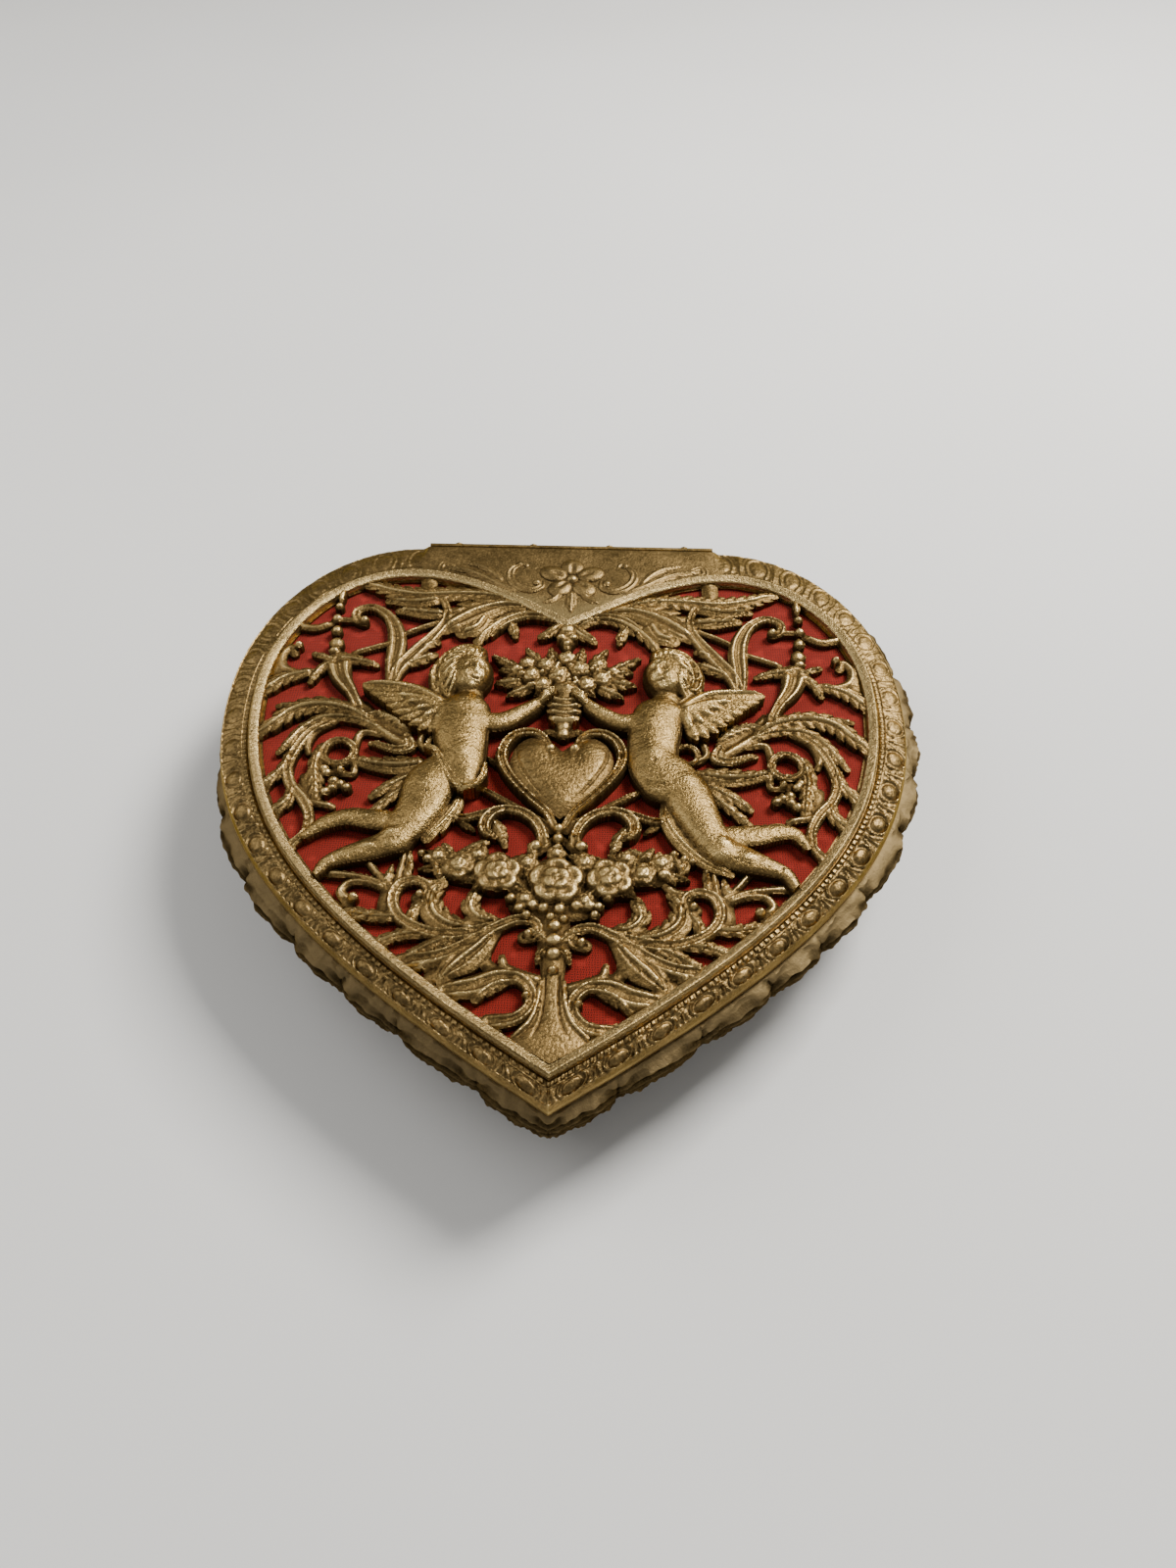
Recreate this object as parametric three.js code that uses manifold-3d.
// Heart-shaped cast-metal trinket box with a pierced, hinged lid over red cloth.
// Millimetres. +Z is up, the tip of the heart points to -Y and the hinge runs along X at the back.
// The drawing's Y runs from the middle of the panel. The pieces are moved back along Y as they are
// added, so that the origin is under the middle of the box, on the surface that it stands on.
import * as THREE from 'three';
import { mergeVertices } from 'three/addons/utils/BufferGeometryUtils.js';
import Module from 'manifold-3d';

const wasm = await Module();
wasm.setup();

// Driving sizes of the plan
const lidHalfWidth = 72;
const lidBack = 73.2;
const lidTip = 70.6;
const lidWidestAt = 24;
const lidLobeAt = 35;
const borderWidth = 6.1;
const rimWidth = 2.2;
const backBand = 12.9;
const tipBand = 7.2;
const rimWidestAt = 24;
const rimLobeAt = 36;
const notchDepth = 17;

// Driving sizes of the height
const footHeight = 3.6;
const wallHeight = 18.4;
const lidLip = 2.4;
const borderRise = 1.6;
const rimHeight = 1.4;
const plateThickness = 1.2;
const scrollRelief = 1;
const figureRelief = 2.6;
const faceRelief = 2.8;
const curlRelief = 2.3;
const curlRadius = 2;
const petalLength = 2.4;
const flowerRelief = 1.1;
const leafRelief = 0.7;

// Driving sizes of the walls, the hinge and the linings
const gap = 0.3;
const wallThickness = 3;
const wallBulge = 2.6;
const wallWaist = 6.5;
const tipSwell = 0.25;
const shellsPerSide = 17;
const shellRelief = 1.8;
const floorThickness = 1.5;
const padThickness = 1.8;
const liningThickness = 0.8;
const liningShort = 0.8;
const clothThickness = 0.7;
const boardThickness = 1.2;
const seatWidth = 1.5;
const hingeHalfLength = 34;
const leafThickness = 0.8;
const leafHeight = 7;
const lidLeafHeight = 3.8;
const barrelRadius = 1.5;
const barrelClearance = 0.2;
const pinRadius = 0.8;
const pinClearance = 0.05;
const knuckleCount = 5;
const rivetRadius = 0.8;
const rivetHeadRadius = 1.1;
const rivetHeadHeight = 0.6;
const rivetDepth = 1.4;
const footWidth = 8;
const footDepth = 7;
const footInset = 11.5;

// Levels that follow from them
const baseTop = footHeight + wallHeight;
const lidBottom = baseTop + gap;
const lipTop = lidBottom + lidLip;
const rimSeat = lipTop + borderRise;
const rimTop = rimSeat + rimHeight;
const plateBottom = rimSeat - plateThickness;
const scrollTop = rimSeat + scrollRelief;
const floorTop = footHeight + floorThickness;
const leafFace = lidBack + leafThickness;
const axisY = lidBack + barrelClearance + barrelRadius;
const axisZ = baseTop + gap / 2;
// The middle of the box along Y, between the back of the hinge and the front of the wall
const originY = (axisY + barrelRadius - lidTip - wallBulge * 0.6) / 2;

// Samples along half of a heart outline: its back or notch, its lobe and its flank
const fineSteps = [5, 10, 18];
const denseSteps = [12, 18, 36];
// Straight lengths for each point of a drawn scroll
const scrollDetail = 0.75;

const castMetal = { color: 0x8c7a52, roughness: 0.45, metalness: 1 };
const brightMetal = { color: 0xb09a68, roughness: 0.35, metalness: 1 };
const sheetBrass = { color: 0xa08a55, roughness: 0.4, metalness: 1 };
const redCloth = { color: 0x8a1410, roughness: 0.95, metalness: 0 };
const greyCard = { color: 0x8d8779, roughness: 0.9, metalness: 0 };

// From three.js geometry to a manifold solid, and back
const toSolid = (geometry) => {
  const bare = geometry.index ? geometry.toNonIndexed() : geometry.clone();
  for (const name of Object.keys(bare.attributes)) {
    if (name !== 'position') bare.deleteAttribute(name);
  }
  const merged = mergeVertices(bare, 1e-4);
  const triangles = [];
  const index = merged.index.array;
  for (let i = 0; i < index.length; i += 3) {
    const [a, b, c] = [index[i], index[i + 1], index[i + 2]];
    if (a !== b && b !== c && c !== a) triangles.push(a, b, c);
  }
  return new wasm.Manifold(new wasm.Mesh({
    numProp: 3,
    vertProperties: new Float32Array(merged.attributes.position.array),
    triVerts: new Uint32Array(triangles),
  }));
};

const toGeometry = (solid) => {
  const mesh = solid.getMesh();
  const geometry = new THREE.BufferGeometry();
  geometry.setAttribute('position', new THREE.BufferAttribute(mesh.vertProperties, 3));
  geometry.setIndex(new THREE.BufferAttribute(mesh.triVerts, 1));
  return geometry;
};

const joined = (solids) => solids.reduce((whole, next) => whole.add(next));

// Outlines in plan
const cubic = (a, b, c, d, steps) => {
  const curve = new THREE.CubicBezierCurve(
    new THREE.Vector2(...a), new THREE.Vector2(...b), new THREE.Vector2(...c), new THREE.Vector2(...d));
  return curve.getSpacedPoints(steps);
};

// Half of a heart, from the middle of its back or notch round a lobe and down a flank to the tip.
const halfHeart = ({ halfWidth, widestAt, top, lobeAt, notch, tip }, [back, lobe, flank]) => {
  const rise = top - notch;
  const side = halfWidth - lobeAt;
  const first = cubic(
    [0, notch], [lobeAt / 3, notch + rise * 0.51], [lobeAt * 2 / 3, top], [lobeAt, top], back);
  const second = cubic(
    [lobeAt, top], [lobeAt + side * 0.57, top],
    [halfWidth, widestAt + (top - widestAt) * 0.545], [halfWidth, widestAt], lobe);
  const third = cubic(
    [halfWidth, widestAt], [halfWidth, widestAt - (widestAt + tip) * 0.41],
    [halfWidth * 0.686, -tip * 0.55], [0, -tip], flank);
  return [...first, ...second.slice(1), ...third.slice(1)];
};

// The closed outline runs counterclockwise: the left half from the back to the tip, then the right half up.
const acrossAxis = (p) => new THREE.Vector2(-p.x, p.y);
const around = (right, toLeft) => {
  const between = right.slice(1, -1);
  return [right[0], ...between.map(toLeft), right[right.length - 1], ...between.reverse()];
};
const closedHeart = (heart, steps) => around(halfHeart(heart, steps), acrossAxis);

// Points at equal steps along an open outline
const evenly = (points, count) => {
  const runs = [0];
  points.slice(1).forEach((p, i) => runs.push(runs[i] + p.distanceTo(points[i])));
  return Array.from({ length: count + 1 }, (_, k) => {
    const run = (runs[runs.length - 1] * k) / count;
    const j = Math.max(runs.findIndex((r) => r >= run - 1e-9), 1);
    return points[j - 1].clone().lerp(points[j], (run - runs[j - 1]) / (runs[j] - runs[j - 1]));
  });
};

// Moves an outline outwards by a distance, or by distance(point, index), along its corner normals.
const outset = (outline, distance) => outline.map((p, i) => {
  const before = outline[(i + outline.length - 1) % outline.length];
  const after = outline[(i + 1) % outline.length];
  const one = new THREE.Vector2().subVectors(p, before).normalize();
  const two = new THREE.Vector2().subVectors(after, p).normalize();
  const normal = new THREE.Vector2(one.y + two.y, -one.x - two.x).normalize();
  const lean = Math.max(normal.x * one.y - normal.y * one.x, 0.5);
  const d = typeof distance === 'function' ? distance(p, i) : distance;
  return new THREE.Vector2(p.x + normal.x * d / lean, p.y + normal.y * d / lean);
});

const lidHeart = {
  halfWidth: lidHalfWidth,
  widestAt: lidWidestAt,
  top: lidBack,
  lobeAt: lidLobeAt,
  notch: lidBack,
  tip: lidTip,
};
const rimTopEdge = lidBack - backBand;
const rimHeart = {
  halfWidth: lidHalfWidth - borderWidth - rimWidth,
  widestAt: rimWidestAt,
  top: rimTopEdge,
  lobeAt: rimLobeAt,
  notch: rimTopEdge - notchDepth,
  tip: lidTip - tipBand,
};
const lidLine = closedHeart(lidHeart, fineSteps);
const rimLine = closedHeart(rimHeart, fineSteps);

// Half of the wall's line, with the form of the shells at each point: four steps to a shell. The points that
// the inner loops have no room for beside the tip are left out.
const shellForm = [0, 0.85, 1, 0.85];
const tipClear = (wallWaist + wallThickness + liningThickness + 2 * gap) * 0.68;
const wallHalf = evenly(halfHeart(lidHeart, denseSteps), shellForm.length * shellsPerSide)
  .map((p, k) => ({ p, form: shellForm[k % 4], between: shellForm[(k + 2) % 4] }))
  .filter(({ p }, k, all) => k === all.length - 1 || p.distanceTo(all[all.length - 1].p) > tipClear);
const wallPlaces = around(wallHalf, (place) => ({ ...place, p: acrossAxis(place.p) }));
const wallLine = wallPlaces.map(({ p }) => p);

// Builders of solids
const shapeOf = (outline) => new THREE.Shape(outline.map((p) => p.clone()));

const slab = (outline, low, high) => {
  const geometry = new THREE.ExtrudeGeometry(shapeOf(outline), { depth: high - low, bevelEnabled: false });
  geometry.translate(0, 0, low);
  return geometry;
};

// A ring through closed loops, each {line, z} with as many points; z is a level or a function of the point.
// The loops run up the outside and down the inside. Each face is split from its lower left to its upper
// right corner, so that two rings that nest stay clear of each other where their faces twist.
const ringOf = (loops) => {
  const count = loops[0].line.length;
  const positions = [];
  for (const { line, z } of loops) {
    line.forEach((p, i) => positions.push(p.x, p.y, typeof z === 'function' ? z(p, i) : z));
  }
  const index = [];
  loops.forEach((_, j) => {
    const here = j * count;
    const next = ((j + 1) % loops.length) * count;
    const falls = positions[next * 3 + 2] < positions[here * 3 + 2];
    for (let i = 0; i < count; i += 1) {
      const k = (i + 1) % count;
      if (falls) index.push(here + i, here + k, next + i, here + k, next + k, next + i);
      else index.push(here + i, here + k, next + k, here + i, next + k, next + i);
    }
  });
  const geometry = new THREE.BufferGeometry();
  geometry.setAttribute('position', new THREE.Float32BufferAttribute(positions, 3));
  geometry.setIndex(index);
  return geometry;
};

// A flattened ball, for a head, a rose or a berry.
const ball = (x, y, z, rx, ry, rz, turn = 0, sides = 8, rings = 6) => {
  const geometry = new THREE.SphereGeometry(1, sides, rings);
  geometry.rotateX(Math.PI / 2);
  geometry.scale(rx, ry, rz);
  geometry.rotateZ(turn);
  geometry.translate(x, y, z);
  return toSolid(geometry);
};

// A limb between two points: a lathed tapering capsule, flattened to `flat` of its round height.
const limb = ([ax, ay, ar], [bx, by, br], z, flat) => {
  const length = Math.hypot(bx - ax, by - ay);
  const profile = [
    [0, -ar], [ar * 0.75, -ar * 0.65], [ar, 0], [br, length], [br * 0.75, length + br * 0.65],
      [0, length + br],
  ].map(([r, h]) => new THREE.Vector2(r, h));
  const geometry = new THREE.LatheGeometry(profile, 8, Math.PI / 8);
  geometry.scale(1, 1, flat);
  geometry.rotateZ(Math.atan2(by - ay, bx - ax) - Math.PI / 2);
  geometry.translate(ax, ay, z);
  return toSolid(geometry);
};

// A flat band along a smooth line of [x, y, half width] points, with pointed ends.
const band = (points, low, high) => {
  const places = points.map(([x, y, w]) => new THREE.Vector3(x, y, w));
  const line = new THREE.CatmullRomCurve3(places, false, 'centripetal');
  const steps = Math.ceil((points.length - 1) * scrollDetail);
  const left = [];
  const right = [];
  for (let i = 0; i <= steps; i += 1) {
    const p = line.getPoint(i / steps);
    const t = line.getTangent(i / steps);
    const across = new THREE.Vector2(-t.y, t.x).normalize().multiplyScalar(Math.max(p.z, 0.3));
    left.push(new THREE.Vector2(p.x + across.x, p.y + across.y));
    right.push(new THREE.Vector2(p.x - across.x, p.y - across.y));
  }
  return toSolid(slab([...right, ...left.reverse()], low, high));
};

const boxAt = (low, high) => {
  const geometry = new THREE.BoxGeometry(high[0] - low[0], high[1] - low[1], high[2] - low[2]);
  geometry.translate((low[0] + high[0]) / 2, (low[1] + high[1]) / 2, (low[2] + high[2]) / 2);
  return toSolid(geometry);
};

// A round bar along X between two places on the hinge's axis, or along Y for a rivet.
const barX = (from, to, radius, sides = 12) => {
  const geometry = new THREE.CylinderGeometry(radius, radius, to - from, sides);
  geometry.rotateZ(Math.PI / 2);
  geometry.translate((from + to) / 2, axisY, axisZ);
  return toSolid(geometry);
};
const barY = (x, z, from, to, radius, sides = 8) => {
  const geometry = new THREE.CylinderGeometry(radius, radius, to - from, sides);
  geometry.translate(x, (from + to) / 2, z);
  return toSolid(geometry);
};

const box = new THREE.Group();
const addPiece = (name, geometry, look) => {
  const shown = geometry.index ? geometry.toNonIndexed() : geometry;
  shown.translate(0, -originY, 0);
  shown.computeVertexNormals();
  const mesh = new THREE.Mesh(shown, new THREE.MeshStandardMaterial(look));
  mesh.name = name;
  box.add(mesh);
};

// The hinge: two leaves with alternating knuckles on one pin
const knuckleLength = (2 * hingeHalfLength) / knuckleCount;
const knuckles = Array.from({ length: knuckleCount }, (_, i) => ({
  from: -hingeHalfLength + i * knuckleLength + gap / 2,
  to: -hingeHalfLength + (i + 1) * knuckleLength - gap / 2,
  onBase: i % 2 === 0,
}));
const rivetPlaces = [-0.8, -0.27, 0.27, 0.8].map((share) => share * hingeHalfLength);
const lidRivetZ = axisZ + barrelRadius + (lidLeafHeight - barrelRadius) * 0.52;
const baseRivetZ = axisZ - barrelRadius - (leafHeight - barrelRadius) / 2;
const rivetHoles = (z) => joined(rivetPlaces.map((x) =>
  barY(x, z, lidBack - rivetDepth - gap, leafFace + gap, rivetRadius + gap)));

const hingeLeaf = (onBase) => {
  const plate = onBase
    ? boxAt([-hingeHalfLength, lidBack, axisZ - leafHeight], [hingeHalfLength, leafFace, axisZ])
    : boxAt([-hingeHalfLength, lidBack, axisZ], [hingeHalfLength, leafFace, axisZ + lidLeafHeight]);
  const mine = knuckles.filter((k) => k.onBase === onBase);
  const others = knuckles.filter((k) => k.onBase !== onBase);
  const barrels = mine.map((k) => barX(k.from, k.to, barrelRadius));
  const reliefs = others.map((k) => barX(k.from - gap, k.to + gap, barrelRadius + 2 * barrelClearance));
  const bore = barX(-hingeHalfLength - 1, hingeHalfLength + 1, pinRadius + pinClearance);
  return joined([plate, ...barrels])
    .subtract(joined(reliefs))
    .subtract(bore)
    .subtract(rivetHoles(onBase ? baseRivetZ : lidRivetZ));
};

const rivet = (x, z) => barY(x, z, lidBack - rivetDepth, leafFace + 0.05, rivetRadius)
  .add(barY(x, z, leafFace, leafFace + rivetHeadHeight, rivetHeadRadius));
const addRivets = (name, z) => rivetPlaces.forEach((x, i) => {
  addPiece(`${name}_${i + 1}`, toGeometry(rivet(x, z)), sheetBrass);
});

// The base: a bombe wall that swells under its top edge and draws in below, on five feet, with a sheet
// floor
const smooth = (a, b, x) => {
  const t = Math.min(Math.max((x - a) / (b - a), 0), 1);
  return t * t * (3 - 2 * t);
};
// The wall stands upright behind the hinge and curves fully past the ends of it.
const curved = (p) => (p.y > lidBack - 8
  ? smooth(hingeHalfLength + 4, hingeHalfLength + 16, Math.abs(p.x))
  : 1);
// The swelling grows from the tip to the widest place.
const swelling = (p) => {
  const alongFlank = p.y < lidWidestAt ? smooth(0, lidHalfWidth, Math.abs(p.x)) : 1;
  return curved(p) * (tipSwell + (1 - tipSwell) * alongFlank);
};
// Share of the bulge or waist, level, and how much the upper and the lower row of shells stand out there
const outerProfile = [
  [-0.92, 0, 0, 0.15], [-1, 0.08, 0, 0.5], [-0.86, 0.22, 0, 0.95], [-0.6, 0.36, 0.15, 0.8],
  [-0.2, 0.5, 0.6, 0.3], [0.3, 0.62, 0.9, 0], [0.75, 0.74, 1, 0], [1, 0.86, 0.9, 0],
  [0.8, 0.94, 0.4, 0], [0.4, 1, 0, 0],
];
const innerProfile = [[0, 1], [0, 0.56], [-1, 0]];
const wallLevel = (share) => footHeight + wallHeight * share;
const outward = (share) => share * (share > 0 ? wallBulge : wallWaist);
const insideAt = (share, inset) => outset(
  wallLine, (p) => outward(share) * curved(p) - wallThickness - inset);
const baseWall = () => {
  const inner = innerProfile.map(([share, level]) => ({
    line: outset(wallLine, (p) => outward(share) * curved(p) - wallThickness), z: wallLevel(level),
  }));
  const shells = (p, i, upper, lower) => {
    const { form, between } = wallPlaces[i];
    return shellRelief * (upper * form + lower * between) * swelling(p);
  };
  const outer = outerProfile.map(([share, level, upper, lower]) => ({
    line: outset(wallLine, (p, i) => outward(share) * (share > 0 ? swelling(p) : curved(p))
      + shells(p, i, upper, lower)),
    z: wallLevel(level),
  }));
  return toSolid(ringOf([...inner, ...outer])).subtract(rivetHoles(baseRivetZ));
};

// A foot stands under the wall at a share of the half width and of the length from the tip, turned
// outwards.
const footPlaces = {
  foot_front: [0, -(lidTip - footInset), 0],
  foot_flank_left: [-lidHalfWidth * 0.66, -lidTip * 0.36, -0.9],
  foot_flank_right: [lidHalfWidth * 0.66, -lidTip * 0.36, 0.9],
  foot_rear_left: [-lidHalfWidth * 0.66, lidBack * 0.76, -2.35],
  foot_rear_right: [lidHalfWidth * 0.66, lidBack * 0.76, 2.35],
};
// A scrolled foot: a shell-shaped block with a rolled toe, flat above and below.
const foot = ([x, y, turn]) => {
  const shell = new THREE.LatheGeometry([
    [0, 0], [footWidth * 0.34, 0], [footWidth * 0.4, footHeight * 0.22],
      [footWidth * 0.33, footHeight * 0.55],
    [footWidth * 0.5, footHeight], [0, footHeight],
  ].map(([r, z]) => new THREE.Vector2(r, z)), 12);
  shell.rotateX(Math.PI / 2);
  shell.scale(1, footDepth / footWidth, 1);
  shell.rotateZ(turn);
  shell.translate(x, y, 0);
  return shell;
};

// The pierced panel. Each line is [x, y, half width] from the heart's axis, drawn for the right half.
const scrolls = {
  tipScroll: [[11, -57.6, 1.2], [6.6, -57, 1], [4.3, -54.6, 0.9], [4.1, -51.6, 0.9], [6.4, -49, 1],
    [10, -49, 1.5], [14, -50.8, 1.8], [19, -51.6, 1.2]],
  tipLeaf: [[8.5, -49.4, 0.8], [11.4, -50.8, 1.2], [13.6, -53.4, 0.5]],
  trunkSpur: [[2.5, -49.4, 1], [6.5, -47.8, 0.8], [9, -46.6, 0.8], [9.6, -44.4, 0.5]],
  edgeStem: [[6, -48, 0.8], [10, -47.6, 1], [14, -50.2, 0.8], [19.5, -50.4, 0.9]],
  lowLeaf: [[11.5, -39.6, 1], [14, -42.6, 2], [17, -45.6, 2.4], [19.5, -48.6, 1]],
  longSweep: [[5.8, -40.4, 1], [3.7, -40, 0.8], [3.7, -37.6, 0.8], [7, -36.6, 0.9], [12, -39.2, 1],
    [16, -42.2, 1.1], [21, -44.8, 1.2], [27, -45.8, 1.3]],
  ringStem: [[8.5, -37, 0.8], [14, -39.2, 1.1], [20, -40.2, 1.2], [25, -39, 1], [29, -36.2, 0.9],
    [30.4, -32.6, 0.9], [29.4, -29.4, 0.9], [26.6, -28.4, 0.8], [24.4, -29.6, 0.8], [24, -32, 0.8],
      [25.8, -32.2, 1]],
  ringLeaf: [[24.4, -32.8, 0.7], [26.2, -35.2, 0.8], [26.4, -38, 0.6]],
  forkLeft: [[30.3, -31, 0.8], [29.8, -26.5, 0.6], [29.4, -21.5, 0.6]],
  forkRight: [[30.5, -30, 0.8], [33.2, -27.6, 0.6], [36.4, -23.6, 0.6]],
  forkEdge: [[31, -30, 0.8], [35.5, -28, 0.6], [43.5, -26.8, 0.8]],
  edgeCurl: [[31.6, -30.4, 0.7], [35.4, -28.9, 0.7], [38.9, -29, 0.7], [40.2, -31, 0.7], [38.4, -33, 1.1]],
  edgeLeafA: [[29.5, -36.4, 0.8], [33.2, -36.4, 0.9], [38, -35.6, 1]],
  edgeLeafB: [[24, -40, 0.8], [28, -40.4, 0.9], [32, -42.2, 0.9]],
  edgeLeafC: [[19.5, -40.8, 0.8], [23.4, -43, 0.8], [26.5, -45.2, 0.8]],
  crescentLeaf: [[10.8, -37, 0.6], [15, -36.3, 1.2], [17.2, -34, 1.4], [16.6, -30.6, 0.8]],
  plumeLeaf: [[14.6, -38.8, 0.8], [19.6, -37.8, 1.6], [22.6, -35.2, 1.8], [23, -31.4, 1.2],
    [21.6, -29, 0.9]],
  garlandLink: [[1, -27, 1.5], [10, -26, 1.5]],
  garlandStem: [[20.6, -26.4, 0.8], [22, -28.2, 0.8], [25, -28.6, 0.7], [28.4, -27.8, 0.7],
    [30.6, -29.6, 0.8]],
  underScroll: [[4.2, -18, 1.4], [1.9, -17, 0.9], [2, -13.2, 0.9], [4.4, -10.4, 0.9], [8, -9.4, 0.9],
    [11.6, -10.8, 1.1], [12.9, -13.6, 1.3], [12.2, -16, 1.2]],
  underLeaf: [[11, -9.8, 0.7], [15, -11.4, 1], [18.6, -14.2, 0.6]],
  hipStem: [[11.8, -9.4, 0.6], [16, -11.6, 0.7], [21.6, -11.4, 0.8]],
  heartBand: [[3.2, 5.6, 1.2], [3.2, 8.6, 0.8], [6.4, 10.9, 0.9], [10, 9.8, 0.9], [12.2, 6.4, 0.9],
    [12.2, 1.4, 0.9], [9.8, -3.4, 0.9], [5.8, -8, 0.9], [2.2, -11.6, 1], [0, -14.6, 1.1]],
  crossStem: [[3, -9.8, 0.8], [8, -7.2, 0.7], [13.4, -4.8, 0.6], [17, -4, 0.6]],
  sideLink: [[12.4, 2.2, 0.6], [15.6, 5.4, 0.6]],
  notchLeaf: [[2.6, 44.8, 1], [7, 47, 0.9], [11.2, 46.8, 1.2], [15, 44.6, 1.4], [18.6, 40.6, 1.1],
    [20.2, 37.6, 0.8]],
  notchHook: [[14, 45, 0.8], [12.6, 42, 0.9], [12, 39.4, 0.5]],
  notchSpur: [[1.4, 44, 1.1], [3.8, 41.4, 1], [6.4, 39.6, 0.5]],
  plume: [[9, 49.6, 1], [15, 50.2, 2], [21, 48, 3.2], [25.6, 44.4, 3], [28, 41.6, 1.4]],
  plumeFoot: [[19, 46, 1.6], [21, 42, 2], [23.6, 40.6, 1.4]],
  topLeaf: [[13, 51.8, 0.9], [20, 53.6, 1.3], [27, 53.6, 1.8], [34, 53, 2], [41, 54.2, 1.7], [47.6, 57, 1]],
  topStrut: [[33, 53, 1.6], [33, 61, 1.6]],
  topFringe: [[30, 51.6, 1.2], [35, 50.4, 1.4], [41.4, 50.6, 0.7]],
  midFringe: [[28.4, 46.4, 1], [33, 46.8, 1.5], [38.6, 47.4, 0.8]],
  fringeStem: [[28.6, 44.4, 0.7], [33.4, 42, 0.6], [37, 39.6, 0.6]],
  hookStem: [[37.8, 24, 1], [36.4, 29, 1.4], [33, 34.6, 1.5], [29.9, 39.6, 1.2], [28, 44, 0.9],
    [28, 48, 0.7], [29.6, 51.6, 0.6], [31.4, 51.4, 0.5]],
  hookLeafA: [[35.4, 29.6, 0.8], [31.6, 31.8, 1.3], [29.4, 33, 0.6]],
  hookLeafB: [[32, 35.4, 0.8], [29.4, 37, 0.9]],
  trumpet: [[37.8, 24, 0.9], [38, 31, 1.5], [38, 37, 1.7], [39.2, 42.2, 1.4], [41.4, 46, 1],
    [45, 48.2, 0.8], [48.2, 46.8, 0.8], [47.8, 44, 0.8], [46.2, 43.2, 0.9]],
  stamen: [[52.4, 56, 0.9], [52.8, 50, 0.8], [53, 44, 1.2], [53.2, 39.4, 1.5], [52.4, 35.4, 1.6],
    [50.6, 31.6, 1.4]],
  stamenLeft: [[47.6, 44.2, 0.7], [52.6, 44.2, 0.8]],
  stamenRight: [[53.6, 43, 0.8], [57, 41.2, 0.9], [62, 42.6, 0.9]],
  lilyLeft: [[50, 31.2, 1.5], [46, 30.8, 1], [41.6, 29.4, 0.5]],
  lilyRight: [[50.4, 30.4, 1.3], [53.2, 28, 0.9], [55, 23.8, 0.5]],
  lilyBack: [[50.6, 30.4, 0.9], [55.6, 32.6, 0.5]],
  lilyCup: [[50, 30.6, 2.4], [48.6, 25.4, 1.8], [45.6, 20.4, 1], [43.6, 16.2, 0.9]],
  lilyStem: [[44.4, 18, 0.9], [41, 13, 0.9], [36.6, 9, 1], [32, 5.6, 1.1]],
  lilyLink: [[47, 33.4, 0.6], [43, 35.2, 0.6], [38.6, 37, 0.7]],
  rimCurl: [[53, 27.6, 0.6], [58.4, 26.8, 0.8], [61.8, 28.8, 0.9], [62.4, 32.6, 0.8], [60.8, 34.6, 0.8],
    [60, 32.8, 0.8]],
  rimLeaf: [[55, 27, 0.7], [60.4, 25, 1.4], [64, 21.4, 1.2]],
  rimWeb: [[62.4, 27, 1.2], [63.6, 34, 0.9]],
  bigLeaf: [[40.4, 12.4, 0.8], [45.6, 15.6, 1.3], [52, 16.8, 1.7], [57, 15, 1.8], [60.4, 11, 1.3],
    [63, 8.6, 1]],
  bigLeafTip: [[54, 16.6, 1], [60.4, 16.4, 0.5]],
  spikeLeaf: [[38, 10.4, 0.8], [44, 13, 0.9], [50, 13.2, 1], [54, 10, 1], [56.4, 5.8, 0.8], [58, 3.2, 0.4]],
  ringArm: [[48, 12.8, 0.8], [52.4, 9, 0.8], [54.6, 4, 0.9], [55.4, -1, 0.9], [54, -5.4, 0.9],
    [50.8, -9.4, 0.9],
    [49, -13.4, 0.8], [49, -17.4, 0.7], [51.4, -20.4, 0.8]],
  innerArm: [[47.4, 12.6, 0.6], [51.4, 9.6, 0.8], [52.6, 5.6, 0.7], [52, 3.4, 0.5]],
  berryFrame: [[38, 9, 0.7], [42, 9.2, 0.7], [42.8, 5, 0.7], [42.2, 0.6, 0.6], [42.2, -2.2, 0.6],
    [46, -1.8, 0.8]],
  berryLeaf: [[49.4, 5, 0.9], [49.8, 0, 1.2], [49, -5, 1.1], [48.4, -8.6, 0.9]],
  sideLeafA: [[55.4, 3.4, 0.7], [56.4, -1.4, 0.9], [59.6, -6, 1]],
  sideLeafB: [[53.4, -6, 0.7], [53.8, -9.4, 1], [56.4, -12.6, 1]],
  hipLeaf: [[28, 1, 1], [33, 0.2, 1.8], [38, 0.4, 1.4], [42.4, 1.6, 0.8]],
  hipFrondA: [[29, -1.6, 0.8], [34, -5, 1.1], [37.6, -8, 0.6]],
  hipFrondB: [[29, -3.4, 0.7], [33.4, -7.8, 0.8], [37, -12, 0.7]],
  backCurl: [[29, 10.4, 0.6], [29.6, 6.4, 0.6], [26, 3.6, 0.6], [21, 4, 0.6]],
  whiteCurl: [[32.6, 8.6, 0.7], [31.6, 5.4, 1], [33.8, 4.4, 0.9], [39.6, 6.2, 0.5]],
  footStem: [[45, -10.6, 0.6], [50.2, -9.4, 0.8]],
};
const centreLines = {
  trunk: [[0, -62, 6.5], [0, -57.5, 4.6], [0, -53, 2.8], [0, -47, 2.2], [0, -40, 3], [0, -34, 3.4]],
  pendant: [[0, 46, 2.6], [0, 41, 1.6], [0, 35, 2.2], [0, 29, 2]],
  cartoucheFoot: [[0, -13, 1.6], [0, -18, 1.2], [0, -24, 2]],
  urn: [[0, 6, 1.6], [0, 12.4, 2.6], [0, 17.4, 3], [0, 24, 3]],
};
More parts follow.
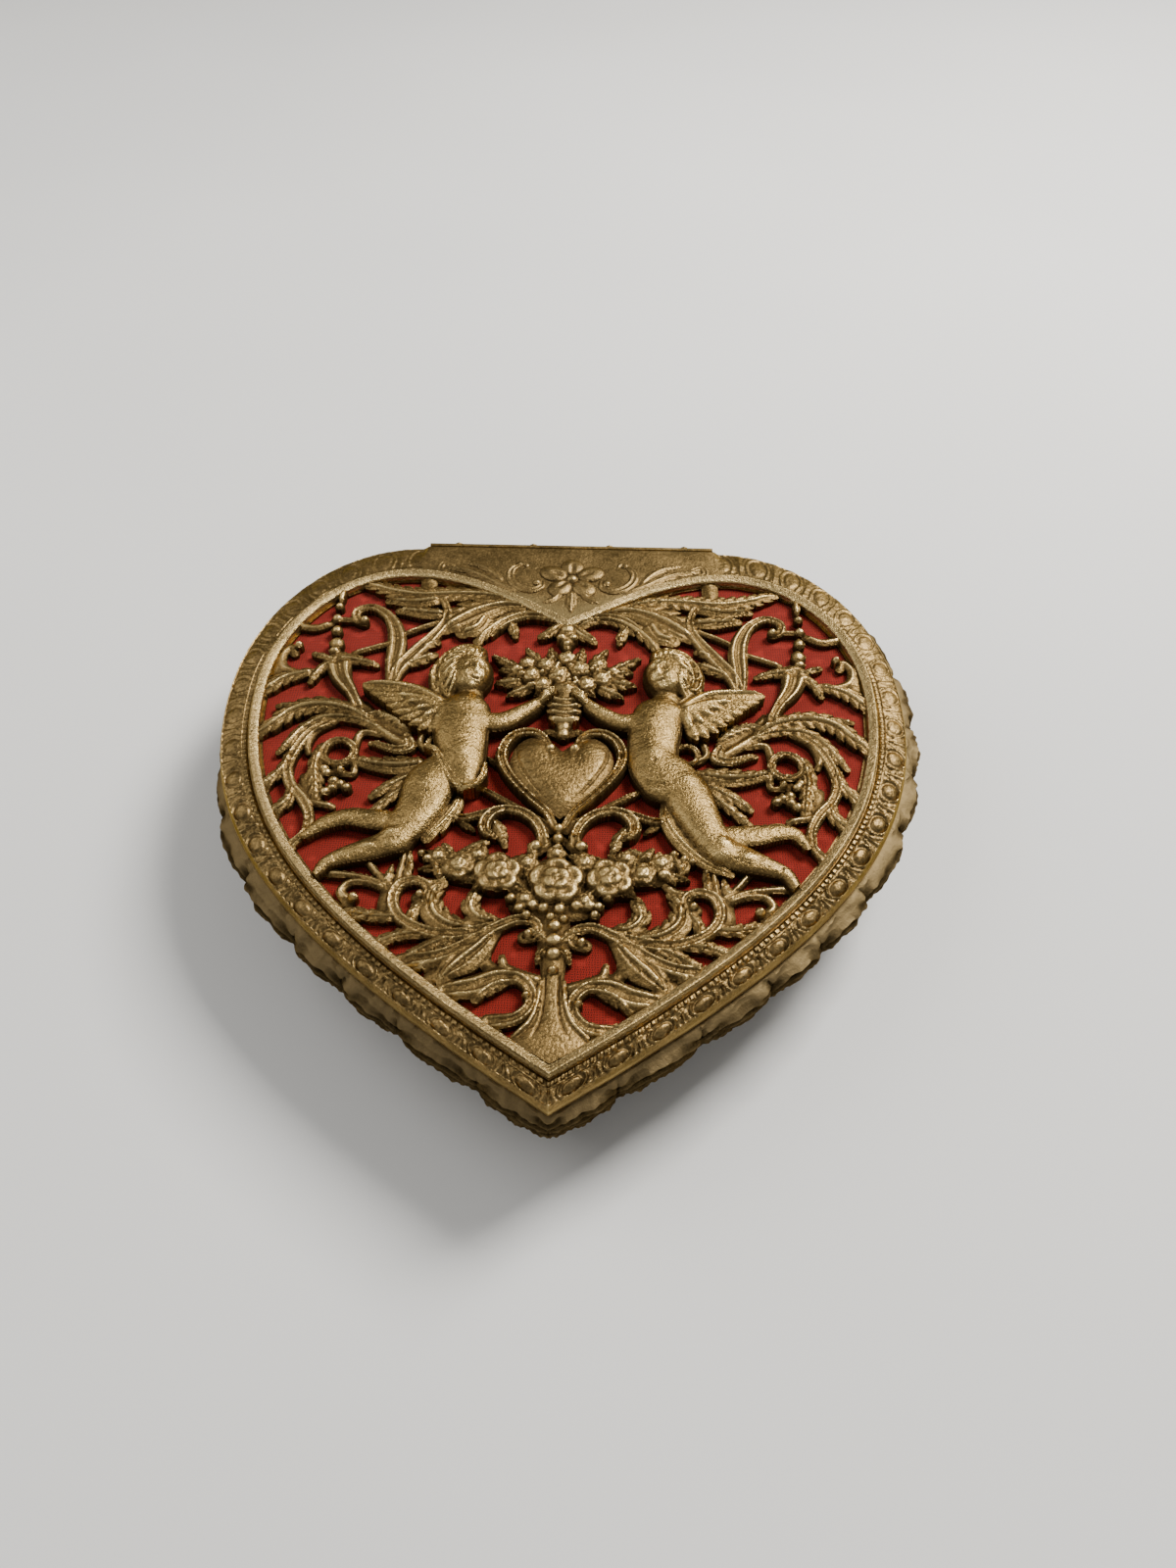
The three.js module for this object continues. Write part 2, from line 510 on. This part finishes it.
// Rounded forms on the panel, for the right half: [turn, x, y, half length, half width].
const blooms = [
  [0.2, 10.4, -25.4, 4, 3.6], [0.4, 17.2, -24.2, 3.4, 2.4], [0.4, 22.6, -21.4, 3.2, 1.9],
  [-0.9, 5.6, -31.6, 3.2, 2.2],
  [0.3, 4.8, 25, 3.6, 2.6], [-0.2, 9.8, 24.6, 2.8, 2], [0.5, 4.6, 30.2, 3, 2.4],
  [0.6, 46, -5.6, 2.6, 1.8],
];
const centreBlooms = [[0, -26.8, 5, 4.6], [0, 27.6, 3.6, 3.2]];
// The ring of berries: its centre, its radius and the half width of its line
const berryRing = [46.4, 3.4, 3, 0.8];
const cartoucheHeart = { halfWidth: 10, widestAt: 4, top: 8.4, lobeAt: 5, notch: 6.5, tip: 10.5 };
const cartoucheDome = [0, 1, 8.4, 8];

// The drawing keeps its place in the rim when the heart's size changes.
const drawnHalfWidth = 63.7;
const drawnLength = 123.7;
const acrossScale = rimHeart.halfWidth / drawnHalfWidth;
const alongScale = (rimHeart.top + rimHeart.tip) / drawnLength;
const drawnMiddle = -1.55;
const middle = (rimHeart.top - rimHeart.tip) / 2;
const strokeScale = Math.max(acrossScale, alongScale);
const place = ([x, y, ...widths]) => [
  x * acrossScale, middle + (y - drawnMiddle) * alongScale, ...widths.map((w) => w * strokeScale)];
const mirrored = ([x, y, ...rest]) => [-x, y, ...rest];

// The panel carries a narrower bed under each limb of a figure.
const bedShare = 0.85;
const bedPoint = ([x, y, radius]) => [x, y, radius * bedShare];

const piercedPanel = () => {
  const strokes = [];
  for (const points of Object.values(scrolls)) {
    const right = points.map(place);
    strokes.push(band(right, plateBottom, scrollTop));
    strokes.push(band(right.map(mirrored), plateBottom, scrollTop));
  }
  for (const points of Object.values(centreLines)) {
    strokes.push(band(points.map(place), plateBottom, scrollTop));
  }
  const domeRise = scrollRelief * 1.3;
  const dome = ([x, y, rx, ry, turn]) => {
    const geometry = new THREE.LatheGeometry([
      [0, plateBottom], [1, plateBottom], [1, scrollTop - 0.3], [0.6, scrollTop + domeRise * 0.7],
      [0, scrollTop + domeRise],
    ].map(([r, z]) => new THREE.Vector2(r, z)), 7);
    geometry.rotateX(Math.PI / 2);
    geometry.scale(rx, ry, 1);
    geometry.rotateZ(turn);
    geometry.translate(x, y, 0);
    return toSolid(geometry);
  };
  for (const [turn, ...bloom] of blooms) {
    const [x, y, rx, ry] = place(bloom);
    strokes.push(dome([x, y, rx, ry, turn]), dome([-x, y, rx, ry, -turn]));
  }
  for (const bloom of centreBlooms) strokes.push(dome([...place(bloom), 0]));
  const [ringX, ringY, ringRadius, ringHalfWidth] = place(berryRing);
  for (const side of [-1, 1]) {
    const circle = (radius) => Array.from({ length: 9 }, (_, i) => new THREE.Vector2(
      side * ringX + Math.cos(i * Math.PI * 2 / 9) * radius, ringY + Math.sin(i * Math.PI * 2 / 9) * radius));
    strokes.push(toSolid(slab(circle(ringRadius + ringHalfWidth), plateBottom, scrollTop))
      .subtract(toSolid(slab(circle(ringRadius - ringHalfWidth), plateBottom - 1, scrollTop + 1))));
  }
  for (const { limbs } of Object.values(figures)) {
    for (const ends of limbs) strokes.push(band(ends.map(bedPoint).map(place), plateBottom, scrollTop));
  }
  const cartouche = closedHeart(cartoucheHeart, [2, 3, 4])
    .map((p) => new THREE.Vector2(...place([p.x, p.y])));
  strokes.push(toSolid(slab(cartouche, plateBottom, scrollTop)));
  strokes.push(dome([...place(cartoucheDome), 0]));
  const edge = toSolid(slab(outset(rimLine, seatWidth - gap), plateBottom, rimSeat));
  const clear = toSolid(slab(outset(rimLine, -gap), plateBottom - 1, rimTop + 5));
  const opening = toSolid(slab(outset(rimLine, -0.9), plateBottom - 1, rimTop + 5));
  return joined(strokes).intersect(clear).add(edge.subtract(opening));
};

// The two winged children, each a body of tapering limbs with one wing. Places are [x, y, radius].
const figures = {
  cherub_right: {
    limbs: [
      [[20.4, 17, 5.2], [19.4, 8, 4.6]], [[19.4, 8, 4.6], [19.4, -0.5, 4.2]],
      [[18.6, 15.6, 2.8], [12, 16.2, 2.4]], [[12, 16.2, 2.4], [4.8, 19.8, 1.6]],
      [[19, 3, 4.2], [24.4, -3.6, 4.6]],
      [[23.4, -0.5, 4.6], [28, -12.5, 4]], [[28, -12.5, 4], [31, -17.4, 3.1]],
      [[31, -17.4, 3], [42.4, -22.6, 1.7]], [[42.4, -22.6, 1.6], [44.4, -25.6, 0.9]],
      [[33.4, -14.6, 2.2], [42, -12.6, 1.7]], [[42, -12.6, 1.6], [46.2, -15, 0.9]],
    ],
    head: [22, 29.6, 6.4, 7.6],
    neck: [[22, 22, 3], [21.4, 18, 3.6]],
    wing: [[22, 18.6], [30.4, 23.4], [41.6, 23.8], [38.6, 19.6], [35.6, 18], [33.6, 14.4], [30.6, 13],
      [28, 10], [22, 10.6]],
  },
  cherub_left: {
    limbs: [
      [[-19.8, 16, 5.6], [-19.4, 7, 4.6]], [[-19.4, 7, 4.6], [-18.4, 0.5, 3.4]],
      [[-19.4, 15.4, 3.2], [-12.8, 13.8, 2.7]], [[-12.8, 13.8, 2.7], [-4.9, 19.6, 1.7]],
      [[-19.4, 4, 4], [-26, -2, 4.4]],
      [[-25.8, 0, 5], [-27.4, -8, 4.8]], [[-27.4, -8, 4.8], [-29.6, -15.6, 3.6]],
      [[-29.6, -15.6, 3.6], [-36, -19.2, 2.6]], [[-36, -19.2, 2.6], [-43.6, -22.8, 1.3]],
      [[-32, -12.4, 2.2], [-39, -11.4, 1.9]], [[-39, -11.4, 1.9], [-46, -12.8, 1.4]],
    ],
    head: [-21.8, 29.4, 7, 7.6],
    neck: [[-20.8, 22, 3.2], [-20, 18, 3.8]],
    wing: [[-21, 19.6], [-31, 24], [-41.6, 24.8], [-39, 20], [-36, 18.4], [-34, 14.8], [-31, 13.4],
      [-28, 10], [-21, 11]],
  },
};
// A head of the half width and half height given: the skull, the front of the face and a ring of curls
const curlAngles = [35, 70, 105, 140, 175, 210, 245];
const headOf = ([x, y], halfWidth, halfHeight, z) => {
  const faces = -Math.sign(x);
  const curls = curlAngles.map((degrees) => {
    const angle = THREE.MathUtils.degToRad(degrees);
    const curlX = x + faces * Math.cos(angle) * (halfWidth - curlRadius / 2);
    const curlY = y + Math.sin(angle) * (halfHeight - curlRadius / 2);
    return ball(curlX, curlY, z, curlRadius, curlRadius, curlRelief, 0, 7, 4);
  });
  const face = ball(x + faces * halfWidth * 0.3, y - halfHeight * 0.1, z, halfWidth * 0.6, halfHeight * 0.64,
    faceRelief, 0, 8, 6);
  return [ball(x, y, z, halfWidth, halfHeight, figureRelief, 0, 9, 6), face, ...curls];
};
const figure = ({ limbs, head, neck, wing }) => {
  const z = scrollTop + gap;
  const flat = figureRelief / 4.8;
  const pieces = [...limbs, neck].map(([a, b]) => limb(place(a), place(b), z, flat));
  pieces.push(...headOf(place(head), head[2], head[3], z));
  pieces.push(toSolid(slab(counterclockwise(wing.map((p) => new THREE.Vector2(...place(p)))), z, z + 1.3)));
  const clear = toSolid(slab(outset(rimLine, -gap), z, rimTop + 10));
  return joined(pieces).intersect(clear);
};
const counterclockwise = (points) => (THREE.ShapeUtils.isClockWise(points) ? [...points].reverse() : points);

// The lid's border: a cast frame with a band of eggs and leaves, and a flower over the notch
// The leaf on each side of the flower, from the flower's centre: [x, y, half width]
const spandrelLeaf = [[5.5, -3, 0.9], [9, -2.6, 1.2], [10.6, 1.4, 1], [15, 0.6, 0.9], [24, 4.4, 0.8]];
const lidBorder = () => {
  const flatBack = (p) => (p.y > lidBack - 6
    ? 1 - smooth(hingeHalfLength, hingeHalfLength + 12, Math.abs(p.x))
    : 0);
  const dip = (share) => (p) => rimSeat - borderRise * share * (1 - flatBack(p));
  const eggs = (p, i) => {
    const onBand = 1 - flatBack(p);
    const egg = i % 2 === 0 ? 0.45 : -0.25;
    return dip(0.42)(p) + egg * onBand;
  };
  const edgeLip = (p) => lidBottom + lidLip + (rimSeat - lipTop) * flatBack(p);
  const seatLine = outset(rimLine, seatWidth);
  const ring = toSolid(ringOf([
    { line: rimLine, z: plateBottom },
    { line: rimLine, z: lidBottom },
    { line: lidLine, z: lidBottom },
    { line: lidLine, z: edgeLip },
    { line: outset(lidLine, -0.9), z: dip(0.88) },
    { line: outset(lidLine, -2.7), z: eggs },
    { line: outset(rimLine, rimWidth + 0.3), z: dip(0.04) },
    { line: outset(rimLine, rimWidth), z: rimSeat },
    { line: seatLine, z: rimSeat },
    { line: seatLine, z: plateBottom },
  ]));
  const flowerY = rimHeart.notch + notchDepth;
  const petals = Array.from({ length: 5 }, (_, i) => {
    const angle = Math.PI / 2 + i * Math.PI * 0.4;
    return ball(Math.cos(angle) * petalLength * 1.3, flowerY + Math.sin(angle) * petalLength * 1.3, rimSeat,
      petalLength, petalLength * 0.8, flowerRelief, angle, 8, 4);
  });
  const heartRadius = petalLength * 0.55;
  const heart = ball(0, flowerY, rimSeat, heartRadius, heartRadius, flowerRelief * 1.4, 0, 8, 4);
  const leafLine = (side) => spandrelLeaf.map(([x, y, w]) => [
    side * x * strokeScale, flowerY + y * strokeScale, w * strokeScale]);
  const leaves = [-1, 1].map((side) => band(leafLine(side), rimSeat - 0.2, rimSeat + leafRelief));
  return joined([ring, ...petals, heart, ...leaves]).subtract(rivetHoles(lidRivetZ));
};

const lidRim = () => {
  const line = (d) => outset(rimLine, d);
  return ringOf([
    { line: line(rimWidth), z: rimSeat }, { line: line(rimWidth - 0.35), z: rimTop - 0.5 },
    { line: line(rimWidth / 2), z: rimTop }, { line: line(0.35), z: rimTop - 0.4 },
    { line: line(0), z: rimSeat },
  ]);
};

// Lines and levels of the linings
const insideLid = outset(rimLine, -gap);
const floorLine = insideAt(-1, gap);
const padLine = insideAt(-1, liningThickness + 2 * gap);
const liningTop = baseTop - liningShort;
const kneeLevel = wallLevel(0.56) + gap;
const liningAt = (share, inset) => insideAt(share, gap + inset);
const clothBottom = plateBottom - clothThickness;
const boardBottom = clothBottom - boardThickness;

addPiece('base_wall', toGeometry(baseWall()), castMetal);
addPiece('base_floor', slab(floorLine, footHeight, floorTop), sheetBrass);
for (const [name, at] of Object.entries(footPlaces)) addPiece(name, foot(at), castMetal);
addPiece('floor_pad', slab(padLine, floorTop, floorTop + padThickness), redCloth);
addPiece('wall_lining', ringOf([
  { line: liningAt(0, liningThickness), z: liningTop },
  { line: liningAt(0, liningThickness), z: kneeLevel },
  { line: liningAt(-1, liningThickness), z: floorTop },
  { line: liningAt(-1, 0), z: floorTop },
  { line: liningAt(0, 0), z: kneeLevel },
  { line: liningAt(0, 0), z: liningTop },
]), redCloth);
addPiece('hinge_leaf_base', toGeometry(hingeLeaf(true)), sheetBrass);
addRivets('hinge_rivet_base', baseRivetZ);
const pin = barX(-hingeHalfLength - gap, hingeHalfLength + gap, pinRadius);
addPiece('hinge_pin', toGeometry(pin), sheetBrass);

addPiece('lid_border', toGeometry(lidBorder()), castMetal);
addPiece('lid_rim', lidRim(), brightMetal);
addPiece('pierced_panel', toGeometry(piercedPanel()), castMetal);
for (const [name, drawn] of Object.entries(figures)) addPiece(name, toGeometry(figure(drawn)), brightMetal);
addPiece('panel_cloth', slab(insideLid, clothBottom, plateBottom), redCloth);
addPiece('lid_board', slab(insideLid, boardBottom, clothBottom), greyCard);
addPiece('lid_lining', slab(outset(insideLid, -gap), lidBottom + gap / 2, boardBottom), redCloth);
addPiece('hinge_leaf_lid', toGeometry(hingeLeaf(false)), sheetBrass);
addRivets('hinge_rivet_lid', lidRivetZ);

export default box;
